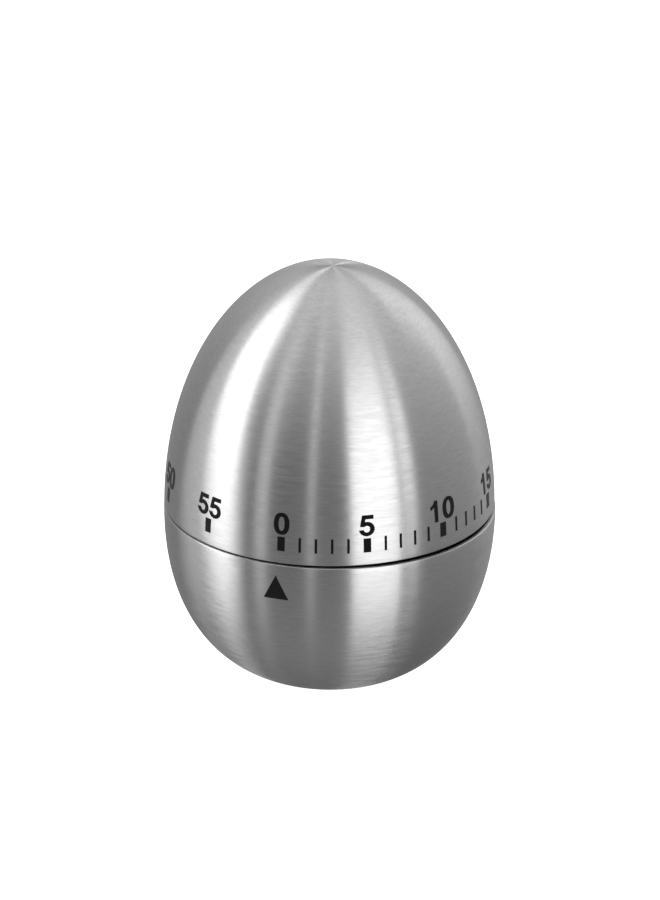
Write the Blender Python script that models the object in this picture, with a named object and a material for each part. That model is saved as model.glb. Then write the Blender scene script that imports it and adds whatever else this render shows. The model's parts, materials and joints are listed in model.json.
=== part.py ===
"""Egg-shaped mechanical kitchen timer, 60 minutes, as an assembly of separate pieces.

Metres, +Z up, the dial's axis on Z and the base on z = 0. The front is -Y.
Angles in the plan are counterclockwise from +X, seen from above.
"""

import math

import bmesh
import bpy
from mathutils import Matrix, Vector
from mathutils.geometry import tessellate_polygon

MM = 0.001

# Overall sizes of the egg
EQUATOR_RADIUS = 30.1 * MM
SEAM_HEIGHT = 31.8 * MM
UPPER_HEIGHT = 46.2 * MM
LOWER_DEPTH = 33.0 * MM
COVER_PROUD = 0.4 * MM

# Exponents of the two superellipses: (height, radius)
UPPER_POWERS = (2.05, 2.0)
LOWER_POWERS = (2.2, 2.73)

# Sheet, walls and fits
SHEET = 0.6 * MM
WALL = 1.6 * MM
FIT = 0.3 * MM
RUNNING_FIT = 0.4 * MM
SEAM_GAP = 0.5 * MM
SHELL_SEGMENTS = 48
LINER_SEGMENTS = 32
PROFILE_STEPS = 7

# Bottom of the timer
COVER_THICKNESS = 1.8 * MM
COVER_CHAMFER = 0.3 * MM
FLOOR_THICKNESS = 1.6 * MM
FLOOR_OPENING = 8.2 * MM
FLOOR_BOSS_WIDTH = 3.4 * MM
FLOOR_BOSS_HEIGHT = 2.8 * MM
COVER_RADIUS = 11.7 * MM
FLANGE_OPENING = 12.0 * MM
COVER_SCREW_CIRCLE = 9.7 * MM
SLOT_INNER = 4.0 * MM
SLOT_OUTER = 7.2 * MM
SLOT_COUNT = 8
SLOT_ARC = math.radians(22)

# Bell
BELL_RADIUS = 13.5 * MM
BELL_HEIGHT = 6.0 * MM
BELL_WALL = 0.8 * MM
BELL_BOTTOM = 5.2 * MM
BELL_POWER = 2.6
BELL_SEGMENTS = 24
BELL_BOSS_RADIUS = 2.8 * MM

# Movement frame
PLATE_THICKNESS = 1.0 * MM
PLATE_RADIUS = 23.3 * MM
BOTTOM_PLATE_HEIGHT = 13.4 * MM
PLATE_SPACING = 10.6 * MM
PILLAR_CIRCLE = 21.3 * MM
PILLAR_RADIUS = 1.4 * MM
PILLAR_NECK = 1.0 * MM
NUT_RADIUS = 2.1 * MM
NUT_HEIGHT = 1.2 * MM
PILLAR_ANGLES = tuple(math.radians(a) for a in (58, 178, 298))
SCREW_CIRCLE = 21.9 * MM
PLATE_SCREW_ANGLES = tuple(math.radians(a) for a in (118, 238, 358))
LEDGE_WIDTH = 3.9 * MM
LEDGE_THICKNESS = 1.2 * MM
LEDGE_SLOPE = 2.9 * MM

# Screws
SCREW_SHANK = 0.7 * MM
SCREW_HEAD = 1.2 * MM
SCREW_HEAD_HEIGHT = 0.8 * MM
SCREW_RECESS = 1.3 * MM
SCREW_SEGMENTS = 12
SMALL_SCREW = (SCREW_SHANK, SCREW_HEAD)
BELL_SCREW = (1.1 * MM, 2.4 * MM)

# Main arbor and what sits on it
ARBOR_RADIUS = 2.0 * MM
ARBOR_NECK = 1.6 * MM
SQUARE_HALF = 1.3 * MM
SQUARE_TOP = 43.0 * MM
RATCHET_RADIUS = 4.6 * MM
RATCHET_TEETH = 12
CAM_RADIUS = 5.6 * MM
CAM_NOTCH = 1.5 * MM
CAM_LEAD = math.radians(20)
CAM_FLOOR = math.radians(64)
CAM_RAMP = math.radians(16)
STOP_RADIUS = 12.0 * MM
STOP_PIN_RADIUS = 0.45 * MM
STOP_PIN_ANGLE = math.radians(150)
STOP_TAB_END = 0.3 * MM
TAB_CLEARANCE = 0.7 * MM
STOP_HUB = 3.6 * MM
DIAL_TRAVEL = math.radians(348)

# Dial liner
SKIRT_DEPTH = 2.4 * MM
SKIRT_WALL = 1.4 * MM
LINER_RISE = 10.0 * MM
WEB_RISE = 6.2 * MM
WEB_THICKNESS = 1.4 * MM
HUB_RADIUS = 4.5 * MM
HUB_CLEARANCE = 0.9 * MM

# Wheel train: (teeth, module in metres)
GREAT_TEETH = 64
SECOND_PINION_LEAVES = 8
GREAT_MODULE = 0.38 * MM
WHEEL_TEETH = 42
PINION_LEAVES = 7
SECOND_MODULE = 0.36 * MM
THIRD_MODULE = 0.34 * MM
ESCAPE_TEETH = 15
ESCAPE_RADIUS = 5.5 * MM
ESCAPE_DEPTH = 1.5 * MM
STRIKE_TEETH = 15
STRIKE_RADIUS = 3.8 * MM
STRIKE_DEPTH = 1.0 * MM
TRAIN_CIRCLE = 14.6 * MM
BALANCE_CIRCLE = 15.0 * MM
BALANCE_DISTANCE = 7.6 * MM
SPINDLE_RADIUS = 0.7 * MM
PIVOT_RADIUS = 0.45 * MM
WHEEL_THICKNESS = 0.6 * MM
WHEEL_RIM = 1.0 * MM
WHEEL_SPOKE = 1.0 * MM
GREAT_SPOKE = 2.6 * MM

# Teeth: addendum and dedendum in modules, and the tooth's share of the pitch
WHEEL_TOOTH = (0.95, 1.2, 0.42)
PINION_TOOTH = (0.75, 1.35, 0.34)
TOOTH_ROOT = 1.2
TOOTH_TIP = 0.45
SAW_TIP = 0.12
SAW_FRONT = 0.18
SAW_BACK = 0.3
SAW_GAP_MIDDLE = 0.47

# Heights of the wheels above the bottom plate's upper face
GREAT_LEVEL = 4.5 * MM
SECOND_LEVEL = 7.0 * MM
THIRD_LEVEL = 8.9 * MM
STRIKE_LEVEL = 1.0 * MM
CAM_LEVEL = 8.6 * MM
CAM_THICKNESS = 0.8 * MM
PALLET_DROP = 1.0 * MM
PINION_MARGIN = 0.4 * MM
RIVET_CIRCLE = 7.3 * MM
RIVET_RADIUS = 0.45 * MM
RIVET_HEAD = 1.0 * MM
CLICK_OUTER = 8.4 * MM
CLICK_INNER = 6.2 * MM

# Balance and pallet
BALANCE_RADIUS = 5.0 * MM
BALANCE_RIM = 1.1 * MM
BALANCE_THICKNESS = 1.2 * MM
PALLET_PIN_RADIUS = 0.25 * MM
PALLET_CLEARANCE = 0.12 * MM
PALLET_SPREAD = math.radians(30)

# Mainspring
SPRING_INNER = 2.8 * MM
SPRING_OUTER = 8.3 * MM
SPRING_TURNS = 5
SPRING_STRIP = 0.35 * MM
SPRING_WIDTH = 3.0 * MM
SPRING_LEVEL = 0.5 * MM
SPRING_STEPS = 16
SPRING_POST_RADIUS = 0.6 * MM
SPRING_POST_ANGLE = math.radians(180)

# Hammer
HAMMER_CIRCLE = 16.0 * MM
HAMMER_ANGLE = math.radians(-37)
HAMMER_ARBOR_RADIUS = 0.9 * MM
HAMMER_HEAD_ANGLE = math.radians(-92)
HAMMER_HEAD_RADIUS = 1.5 * MM
HAMMER_HEAD_GAP = 1.2 * MM
HAMMER_HEAD_LOW = 5.9 * MM
HEAD_STEM = 0.5 * MM
HAMMER_ARM_RISE = 1.3 * MM
HAMMER_ARM_THICKNESS = 0.8 * MM
LEVER_END = 0.6 * MM
FINGER_END = 0.3 * MM
FINGER_SKEW = math.radians(115)
HAMMER_SPRING_RADIUS = 1.5 * MM
HAMMER_SPRING_WIRE = 0.2 * MM
HAMMER_SPRING_TURNS = 3

# Levels worked out from the sizes above
FLANGE_TOP = COVER_PROUD + SHEET
PLATE_TOP = BOTTOM_PLATE_HEIGHT + PLATE_THICKNESS
TOP_PLATE_HEIGHT = PLATE_TOP + PLATE_SPACING
FRAME_TOP = TOP_PLATE_HEIGHT + PLATE_THICKNESS
TAB_HEIGHT = FRAME_TOP + TAB_CLEARANCE
HUB_BOTTOM = TAB_HEIGHT + CAM_THICKNESS + HUB_CLEARANCE
LINING = SHEET + FIT


def clear_scene():
    """Remove every object that the scene holds."""
    for obj in list(bpy.data.objects):
        bpy.data.objects.remove(obj, do_unlink=True)


def material(name, colour, roughness, metallic):
    """A plain Principled material."""
    made = bpy.data.materials.new(name)
    made.use_nodes = True
    shader = made.node_tree.nodes["Principled BSDF"]
    shader.inputs["Base Color"].default_value = (*colour, 1)
    shader.inputs["Roughness"].default_value = roughness
    shader.inputs["Metallic"].default_value = metallic
    made.diffuse_color = (*colour, 1)
    return made


def polar(radius, angle):
    """Point of the plan at a radius and an angle."""
    return radius * math.cos(angle), radius * math.sin(angle)


def finish_mesh(name, bm, finish, smooth=True):
    """Turn a bmesh into a named object of the scene."""
    bmesh.ops.remove_doubles(bm, verts=bm.verts, dist=1e-7)
    bmesh.ops.recalc_face_normals(bm, faces=bm.faces)
    mesh = bpy.data.meshes.new(name)
    bm.to_mesh(mesh)
    bm.free()
    mesh.materials.append(material(f"{name}_{finish[0]}", *finish[1:]))
    if smooth:
        mesh.shade_smooth()
        mesh.set_sharp_from_angle(angle=math.radians(32))
    obj = bpy.data.objects.new(name, mesh)
    bpy.context.collection.objects.link(obj)
    return obj


def place(obj, x, y, axis=None):
    """Move a piece to a point of the plan, with its origin there or on the axis that it turns about."""
    origin = axis or (x, y)
    obj.data.transform(Matrix.Translation((x - origin[0], y - origin[1], 0)))
    obj.location = (*origin, 0)
    return obj


def stack(name, loops, finish, closed=False):
    """Join loops of points, one above the other. A loop of one point is a tip."""
    bm = bmesh.new()
    rings = [[bm.verts.new((x, y, z)) for x, y in points] for points, z in loops]
    pairs = list(zip(rings, rings[1:]))
    if closed:
        pairs.append((rings[-1], rings[0]))
    else:
        for ring in (rings[0], rings[-1]):
            if len(ring) > 1:
                bm.faces.new(ring)
    for low, high in pairs:
        count = max(len(low), len(high))
        for i in range(count):
            j = (i + 1) % count
            if len(low) == 1:
                bm.faces.new((low[0], high[j], high[i]))
            elif len(high) == 1:
                bm.faces.new((low[i], low[j], high[0]))
            else:
                bm.faces.new((low[i], low[j], high[j], high[i]))
    return finish_mesh(name, bm, finish)


def lathe(name, profile, segments, finish, closed=False):
    """Turn a profile of (radius, z) about Z. A radius may be a function of the angle."""
    angles = [math.tau * i / segments for i in range(segments)]
    loops = []
    for radius, z in profile:
        if callable(radius):
            points = [polar(radius(a), a) for a in angles]
        elif radius > 0:
            points = [polar(radius, a) for a in angles]
        else:
            points = [(0, 0)]
        loops.append((points, z))
    return stack(name, loops, finish, closed)


def slab(name, outlines, bottom, thickness, finish):
    """A flat piece: the first outline is its edge, the others are its holes."""
    bm = bmesh.new()
    flat = [Vector((x, y, 0)) for line in outlines for x, y in line]
    low = [bm.verts.new((p.x, p.y, bottom)) for p in flat]
    high = [bm.verts.new((p.x, p.y, bottom + thickness)) for p in flat]
    for a, b, c in tessellate_polygon([[Vector((x, y, 0)) for x, y in line] for line in outlines]):
        bm.faces.new((low[a], low[b], low[c]))
        bm.faces.new((high[c], high[b], high[a]))
    start = 0
    for line in outlines:
        count = len(line)
        for i in range(count):
            a, b = start + i, start + (i + 1) % count
            bm.faces.new((low[a], low[b], high[b], high[a]))
        start += count
    return finish_mesh(name, bm, finish)


def circle(radius, segments, x=0.0, y=0.0, phase=0.0):
    """Points of a circle in the plan."""
    points = []
    for i in range(segments):
        dx, dy = polar(radius, phase + math.tau * i / segments)
        points.append((x + dx, y + dy))
    return points


def egg_point(turn, upper, inset):
    """A point of the egg's side, by the superellipse's parameter, moved in by a thickness."""
    height = UPPER_HEIGHT if upper else LOWER_DEPTH
    vertical, radial = UPPER_POWERS if upper else LOWER_POWERS
    r = math.cos(turn) ** (2 / radial)
    z = math.sin(turn) ** (2 / vertical)
    normal_r = radial / EQUATOR_RADIUS * r ** (radial - 1)
    normal_z = vertical / height * z ** (vertical - 1)
    size = math.hypot(normal_r, normal_z)
    out_r = EQUATOR_RADIUS * r - inset * normal_r / size
    out_z = height * z - inset * normal_z / size
    return out_r, SEAM_HEIGHT + out_z if upper else SEAM_HEIGHT - out_z


def egg_turn_at(z, upper, inset):
    """The parameter at which the inset side is at a height, by halving."""
    low, high = 0.0, math.pi / 2 - 1e-4
    for _ in range(60):
        middle = (low + high) / 2
        reached = egg_point(middle, upper, inset)[1]
        if (reached < z) == upper:
            low = middle
        else:
            high = middle
    return low


def egg_side(inset, start, end, steps):
    """Points of the inset side between two heights, both above or both below the seam."""
    upper = start + end > 2 * SEAM_HEIGHT
    first = egg_turn_at(start, upper, inset)
    last = egg_turn_at(end, upper, inset)
    return [egg_point(first + (last - first) * i / steps, upper, inset) for i in range(steps + 1)]


def gear_outline(teeth, module, kind, phase):
    """Teeth as trapezoids with narrow tips; the kind is the wheel's or the pinion's proportions."""
    addendum, dedendum, share = kind
    pitch_radius = teeth * module / 2
    half = math.pi * share / teeth
    root = pitch_radius - dedendum * module
    tip = pitch_radius + addendum * module
    points = []
    for i in range(teeth):
        centre = phase + math.tau * i / teeth
        points.append(polar(root, centre - half * TOOTH_ROOT))
        points.append(polar(tip, centre - half * TOOTH_TIP))
        points.append(polar(tip, centre + half * TOOTH_TIP))
        points.append(polar(root, centre + half * TOOTH_ROOT))
    return points


def saw_outline(teeth, radius, depth, phase):
    """Pointed teeth that lean one way, for the ratchet, the escape wheel and the strike wheel."""
    pitch = math.tau / teeth
    points = []
    for i in range(teeth):
        centre = phase + pitch * i
        points.append(polar(radius, centre - pitch * SAW_TIP / 2))
        points.append(polar(radius, centre + pitch * SAW_TIP / 2))
        points.append(polar(radius - depth, centre + pitch * SAW_FRONT))
        points.append(polar(radius - depth, centre + pitch * (1 - SAW_BACK)))
    return points


def windows(inner, outer, count, spoke):
    """Openings between the spokes of a wheel."""
    found = []
    for i in range(count):
        line = []
        middle = math.tau * (i + 0.5) / count
        for radius, way in ((inner, 1), (outer, -1)):
            half = math.pi / count - math.asin(spoke / 2 / radius)
            for k in range(4):
                line.append(polar(radius, middle + way * half * (2 * k / 3 - 1)))
        found.append(line)
    return found


def hull(circles, steps=16):
    """Outline round a few circles of (x, y, radius), as a stretched band would lie."""
    points = []
    for x, y, radius in circles:
        points += circle(radius, steps, x, y)
    points = sorted(points)
    sides = []
    for order in (points, points[::-1]):
        side = []
        for point in order:
            while len(side) > 1 and turn_of(side[-2], side[-1], point) <= 0:
                side.pop()
            side.append(point)
        sides += side[:-1]
    return sides


def turn_of(a, b, c):
    """Positive where the path a, b, c turns left."""
    return (b[0] - a[0]) * (c[1] - a[1]) - (b[1] - a[1]) * (c[0] - a[0])


def angle_between(first_radius, second_radius, distance):
    """Angle at the centre between two points at given radii and a distance apart."""
    cosine = (first_radius**2 + second_radius**2 - distance**2) / (2 * first_radius * second_radius)
    return math.acos(cosine)


def screw(name, x, y, tip, seat, end, sizes):
    """A screw from its tip to the head's seat and the head's end. Sizes: shank and head radius."""
    shank, head = sizes
    profile = [(0, tip), (shank, tip), (shank, seat), (head, seat), (head, end), (0, end)]
    return place(lathe(name, profile, SCREW_SEGMENTS, STEEL), x, y)


def cutter(name, bodies):
    """Hidden object that cuts holes. Each body is (outline, bottom, top)."""
    bm = bmesh.new()
    for outline, bottom, top in bodies:
        low = [bm.verts.new((x, y, bottom)) for x, y in outline]
        high = [bm.verts.new((x, y, top)) for x, y in outline]
        bm.faces.new(low)
        bm.faces.new(high)
        for i in range(len(outline)):
            j = (i + 1) % len(outline)
            bm.faces.new((low[i], low[j], high[j], high[i]))
    made = finish_mesh(name, bm, PLASTIC, smooth=False)
    made.hide_render = True
    made.display_type = "WIRE"
    return made


def cut(obj, tool):
    """Take the tool's volume out of a piece."""
    step = obj.modifiers.new(tool.name, "BOOLEAN")
    step.operation = "DIFFERENCE"
    step.solver = "EXACT"
    step.object = tool


STEEL = ("steel", (0.62, 0.61, 0.60), 0.3, 1.0)
BRUSHED = ("brushed", (0.60, 0.59, 0.58), 0.28, 1.0)
BRASS = ("brass", (0.78, 0.57, 0.25), 0.3, 1.0)
PLASTIC = ("plastic", (0.02, 0.02, 0.022), 0.5, 0.0)
BLUED = ("blued", (0.10, 0.11, 0.14), 0.3, 1.0)

# Where the arbors stand
GREAT_DISTANCE = (GREAT_TEETH + SECOND_PINION_LEAVES) * GREAT_MODULE / 2
SECOND_DISTANCE = (WHEEL_TEETH + PINION_LEAVES) * SECOND_MODULE / 2
THIRD_DISTANCE = (WHEEL_TEETH + PINION_LEAVES) * THIRD_MODULE / 2
SECOND_ANGLE = 0.0
THIRD_ANGLE = SECOND_ANGLE + angle_between(GREAT_DISTANCE, TRAIN_CIRCLE, SECOND_DISTANCE)
ESCAPE_ANGLE = THIRD_ANGLE + angle_between(TRAIN_CIRCLE, TRAIN_CIRCLE, THIRD_DISTANCE)
BALANCE_ANGLE = ESCAPE_ANGLE + angle_between(TRAIN_CIRCLE, BALANCE_CIRCLE, BALANCE_DISTANCE)
SECOND_AT = polar(GREAT_DISTANCE, SECOND_ANGLE)
THIRD_AT = polar(TRAIN_CIRCLE, THIRD_ANGLE)
ESCAPE_AT = polar(TRAIN_CIRCLE, ESCAPE_ANGLE)
BALANCE_AT = polar(BALANCE_CIRCLE, BALANCE_ANGLE)
HAMMER_AT = polar(HAMMER_CIRCLE, HAMMER_ANGLE)
SPRING_POST_CIRCLE = SPRING_OUTER + SPRING_STRIP + FIT + SPRING_POST_RADIUS
SPRING_POST_AT = polar(SPRING_POST_CIRCLE, SPRING_POST_ANGLE)
HEAD_AT = polar(BELL_RADIUS + HAMMER_HEAD_GAP + HAMMER_HEAD_RADIUS, HAMMER_HEAD_ANGLE)
STOP_PIN_AT = polar(STOP_RADIUS, STOP_PIN_ANGLE)


def bearing(start, end):
    """Angle of the line from one point of the plan to another."""
    return math.atan2(end[1] - start[1], end[0] - start[0])


def make_shells():
    """The two drawn steel sheets that make the egg."""
    top = SEAM_HEIGHT + UPPER_HEIGHT
    edge = SEAM_HEIGHT + SEAM_GAP / 2
    outside = egg_side(0, edge, top - 1e-7, PROFILE_STEPS)[:-1]
    inside = egg_side(SHEET, edge, top - SHEET - 1e-7, PROFILE_STEPS)[:-1]
    profile = [(0, top)] + outside[::-1] + inside + [(0, top - SHEET)]
    lathe("dial_cap", profile, SHELL_SEGMENTS, BRUSHED)

    edge = SEAM_HEIGHT - SEAM_GAP / 2
    outside = egg_side(0, edge, COVER_PROUD, PROFILE_STEPS)
    inside = egg_side(SHEET, FLANGE_TOP, edge, PROFILE_STEPS)
    profile = outside + [(FLANGE_OPENING, COVER_PROUD), (FLANGE_OPENING, FLANGE_TOP)] + inside
    lathe("lower_shell", profile, SHELL_SEGMENTS, BRUSHED, closed=True)


def make_housing():
    """Plastic cup in the lower shell, with the ledge for the movement, and its cover below."""
    floor = COVER_THICKNESS + FIT
    boss_top = floor + FLOOR_BOSS_HEIGHT
    rim = SEAM_HEIGHT - SEAM_GAP / 2 - FIT
    ledge_top = BOTTOM_PLATE_HEIGHT - FIT
    ledge_low = ledge_top - LEDGE_THICKNESS
    ledge_inner = PLATE_RADIUS + FIT - LEDGE_WIDTH
    boss_outer = FLOOR_OPENING + FLOOR_BOSS_WIDTH
    seat = FLANGE_TOP + FIT
    step = FLANGE_OPENING + FIT / 2
    outside = egg_side(LINING, seat, rim, PROFILE_STEPS)
    upper_wall = egg_side(LINING + WALL, rim, ledge_top, PROFILE_STEPS // 2)
    floor_top = floor + FLOOR_THICKNESS
    lower_wall = egg_side(LINING + WALL, ledge_low - LEDGE_SLOPE, floor_top, PROFILE_STEPS // 2)
    profile = [(FLOOR_OPENING, floor), (step, floor), (step, seat)] + outside + upper_wall
    profile += [(ledge_inner, ledge_top), (ledge_inner, ledge_low)] + lower_wall
    profile += [(boss_outer, floor_top), (boss_outer, boss_top), (FLOOR_OPENING, boss_top)]
    housing = lathe("base_housing", profile, LINER_SEGMENTS, PLASTIC, closed=True)

    ledge_screws = [polar(SCREW_CIRCLE, a) for a in PLATE_SCREW_ANGLES]
    cover_screws = [polar(COVER_SCREW_CIRCLE, a) for a in PLATE_SCREW_ANGLES]
    hole = SCREW_SHANK + FIT
    through = [(circle(hole, SCREW_SEGMENTS, x, y), ledge_low - MM, ledge_top + MM) for x, y in ledge_screws]
    through += [(circle(hole, SCREW_SEGMENTS, x, y), -MM, boss_top + MM) for x, y in cover_screws]
    holes = cutter("screw_hole_cutter", through)
    cut(housing, holes)

    boss_end = BELL_BOTTOM + BELL_HEIGHT - BELL_WALL - FIT
    bore = BELL_SCREW[0] + FIT
    bore_floor = COVER_THICKNESS + FLOOR_BOSS_HEIGHT
    profile = [(0, 0), (COVER_RADIUS - COVER_CHAMFER, 0), (COVER_RADIUS, COVER_CHAMFER)]
    profile += [(COVER_RADIUS, COVER_THICKNESS), (BELL_BOSS_RADIUS, COVER_THICKNESS)]
    profile += [(BELL_BOSS_RADIUS, boss_end), (bore, boss_end), (bore, bore_floor), (0, bore_floor)]
    cover = lathe("base_cover", profile, LINER_SEGMENTS, PLASTIC)
    recess = SCREW_HEAD + FIT
    openings = [(circle(recess, SCREW_SEGMENTS, x, y), -MM, SCREW_RECESS) for x, y in cover_screws]
    openings += [(slot_outline(i), -MM, COVER_THICKNESS + MM) for i in range(SLOT_COUNT)]
    recesses = cutter("cover_opening_cutter", openings)
    cut(cover, holes)
    cut(cover, recesses)

    for i, (x, y) in enumerate(cover_screws, 1):
        seat = SCREW_RECESS - FIT
        screw(f"cover_screw_{i}", x, y, boss_top - FIT, seat, seat - SCREW_HEAD_HEIGHT, SMALL_SCREW)


def slot_outline(index):
    """One of the sound slots, a piece of a ring."""
    middle = math.tau * (index + 0.5) / SLOT_COUNT
    points = []
    for radius, way in ((SLOT_INNER, 1), (SLOT_OUTER, -1)):
        for k in range(3):
            points.append(polar(radius, middle + way * SLOT_ARC / 2 * (k - 1)))
    return points


def make_bell():
    """The gong on the cover's boss, and its screw."""
    top = BELL_BOTTOM + BELL_HEIGHT
    outside = []
    inside = []
    steps = 6
    for i in range(steps + 1):
        turn = math.pi / 2 * i / (steps + 1)
        across = math.cos(turn) ** (2 / BELL_POWER)
        up = math.sin(turn) ** (2 / BELL_POWER)
        outside.append((BELL_RADIUS * across, BELL_BOTTOM + BELL_HEIGHT * up))
        inner_height = BELL_HEIGHT - BELL_WALL
        inside.append(((BELL_RADIUS - BELL_WALL) * across, BELL_BOTTOM + inner_height * up))
    hole = BELL_SCREW[0] + FIT
    profile = outside + [(hole, top), (hole, top - BELL_WALL)] + inside[::-1]
    lathe("bell", profile, BELL_SEGMENTS, STEEL, closed=True)
    tip = COVER_THICKNESS + FLOOR_BOSS_HEIGHT + FIT
    screw("bell_screw", 0, 0, tip, top + FIT, top + FIT + SCREW_HEAD_HEIGHT, BELL_SCREW)


def make_frame():
    """The movement's two plates, their pillars, nuts and screws."""
    spindles = [SECOND_AT, THIRD_AT, ESCAPE_AT, BALANCE_AT]
    small = [circle(PIVOT_RADIUS + FIT, 8, x, y) for x, y in spindles]
    pillars = [polar(PILLAR_CIRCLE, a) for a in PILLAR_ANGLES]
    necks = [circle(PILLAR_NECK + FIT, 10, x, y) for x, y in pillars]
    screws = [polar(SCREW_CIRCLE, a) for a in PLATE_SCREW_ANGLES]
    edge = circle(PLATE_RADIUS, LINER_SEGMENTS)
    main = circle(ARBOR_NECK + FIT, 16)

    bottom_holes = [main] + small + necks
    bottom_holes += [circle(SCREW_SHANK + FIT, 10, x, y) for x, y in screws]
    bottom_holes.append(circle(SPRING_POST_RADIUS + FIT, 10, *SPRING_POST_AT))
    bottom_holes.append(circle(HAMMER_ARBOR_RADIUS + FIT, 10, *HAMMER_AT))
    slab("bottom_plate", [edge] + bottom_holes, BOTTOM_PLATE_HEIGHT, PLATE_THICKNESS, STEEL)

    top_holes = [main] + small + necks
    top_holes.append(circle(PIVOT_RADIUS + FIT, 8, *HAMMER_AT))
    top_holes.append(circle(STOP_PIN_RADIUS + FIT, 8, *STOP_PIN_AT))
    slab("top_plate", [edge] + top_holes, TOP_PLATE_HEIGHT, PLATE_THICKNESS, STEEL)

    low = PLATE_TOP + FIT
    high = TOP_PLATE_HEIGHT - FIT
    nut_low = FRAME_TOP + FIT
    for i, (x, y) in enumerate(pillars, 1):
        profile = [(0, BOTTOM_PLATE_HEIGHT), (PILLAR_NECK, BOTTOM_PLATE_HEIGHT), (PILLAR_NECK, low)]
        profile += [(PILLAR_RADIUS, low), (PILLAR_RADIUS, high), (PILLAR_NECK, high)]
        profile += [(PILLAR_NECK, nut_low + NUT_HEIGHT), (0, nut_low + NUT_HEIGHT)]
        place(lathe(f"pillar_{i}", profile, SCREW_SEGMENTS, STEEL), x, y)
        outlines = [circle(NUT_RADIUS, 6), circle(PILLAR_NECK + FIT, 10)]
        place(slab(f"pillar_nut_{i}", outlines, nut_low, NUT_HEIGHT, STEEL), x, y)
    for i, (x, y) in enumerate(screws, 1):
        end = low + SCREW_HEAD_HEIGHT
        screw(f"plate_screw_{i}", x, y, BOTTOM_PLATE_HEIGHT - LEDGE_THICKNESS, low, end, SMALL_SCREW)

    profile = [(0, TOP_PLATE_HEIGHT), (STOP_PIN_RADIUS, TOP_PLATE_HEIGHT)]
    pin_top = TAB_HEIGHT + CAM_THICKNESS + FIT
    profile += [(STOP_PIN_RADIUS, pin_top), (0, pin_top)]
    place(lathe("stop_pin", profile, 8, STEEL), *STOP_PIN_AT)


def make_mainspring():
    """The spiral spring round the main arbor and the post that holds its outer end."""
    low = PLATE_TOP + SPRING_LEVEL
    steps = SPRING_TURNS * SPRING_STEPS
    inner = []
    outer = []
    for i in range(steps + 1):
        radius = SPRING_INNER + (SPRING_OUTER - SPRING_INNER) * i / steps
        angle = SPRING_POST_ANGLE + math.tau * (i - steps) / SPRING_STEPS
        inner.append(polar(radius, angle))
        outer.append(polar(radius + SPRING_STRIP, angle))
    slab("mainspring", [outer + inner[::-1]], low, SPRING_WIDTH, BLUED)
    profile = [(0, BOTTOM_PLATE_HEIGHT), (SPRING_POST_RADIUS, BOTTOM_PLATE_HEIGHT)]
    profile += [(SPRING_POST_RADIUS, low + SPRING_WIDTH), (0, low + SPRING_WIDTH)]
    place(lathe("spring_post", profile, 10, STEEL), *SPRING_POST_AT)


def square(angle):
    """Radius of the arbor's square end at an angle."""
    return SQUARE_HALF / max(abs(math.cos(angle)), abs(math.sin(angle)))


def square_bore(angle):
    """Radius of the hub's square bore at an angle."""
    return square(angle) * (SQUARE_HALF + FIT) / SQUARE_HALF


def make_dial():
    """What turns with the dial, below the steel cap: the liner, the arbor and its small parts."""
    flange = SEAM_HEIGHT + SEAM_GAP / 2
    skirt_low = SEAM_HEIGHT - SKIRT_DEPTH
    skirt_outer = EQUATOR_RADIUS - LINING - WALL - RUNNING_FIT
    web_low = SEAM_HEIGHT + WEB_RISE
    web_top = web_low + WEB_THICKNESS
    liner_top = SEAM_HEIGHT + LINER_RISE
    hub_top = SQUARE_TOP - FIT
    step = flange + SKIRT_WALL
    profile = [(square_bore, HUB_BOTTOM), (HUB_RADIUS, HUB_BOTTOM), (HUB_RADIUS, web_low)]
    profile += egg_side(LINING + WALL, web_low, step, 2)
    profile += [(skirt_outer - SKIRT_WALL, step), (skirt_outer - SKIRT_WALL, skirt_low)]
    profile += [(skirt_outer, skirt_low), (skirt_outer, flange)]
    profile += egg_side(LINING, flange, liner_top, PROFILE_STEPS // 2)
    profile += egg_side(LINING + WALL, liner_top, web_top, 1)
    profile += [(HUB_RADIUS, web_top), (HUB_RADIUS, hub_top), (square_bore, hub_top)]
    lathe("dial_liner", profile, LINER_SEGMENTS, PLASTIC, closed=True)

    low = PLATE_TOP + FIT
    high = TOP_PLATE_HEIGHT - FIT
    square_low = HUB_BOTTOM - FIT
    profile = [(0, BOTTOM_PLATE_HEIGHT), (ARBOR_NECK, BOTTOM_PLATE_HEIGHT), (ARBOR_NECK, low)]
    profile += [(ARBOR_RADIUS, low), (ARBOR_RADIUS, high), (ARBOR_NECK, high)]
    profile += [(ARBOR_NECK, square_low), (square, square_low), (square, SQUARE_TOP), (0, SQUARE_TOP)]
    lathe("main_arbor", profile, 16, STEEL)

    bore = circle(ARBOR_RADIUS + FIT, 16)
    ratchet = saw_outline(RATCHET_TEETH, RATCHET_RADIUS, CAM_NOTCH / 2, 0)
    ratchet_low = PLATE_TOP + GREAT_LEVEL + WHEEL_THICKNESS + FIT
    slab("ratchet_wheel", [ratchet, bore], ratchet_low, WHEEL_THICKNESS, STEEL)
    slab("alarm_cam", [cam_outline(), bore], PLATE_TOP + CAM_LEVEL, CAM_THICKNESS, BRASS)

    block = (math.tau - DIAL_TRAVEL) / 2
    tip = polar(STOP_RADIUS + STOP_PIN_RADIUS, STOP_PIN_ANGLE - block)
    outline = hull([(0, 0, STOP_HUB), (*tip, STOP_TAB_END)])
    slab("stop_tab", [outline, circle(ARBOR_NECK + FIT, 16)], TAB_HEIGHT, CAM_THICKNESS, STEEL)


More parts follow.
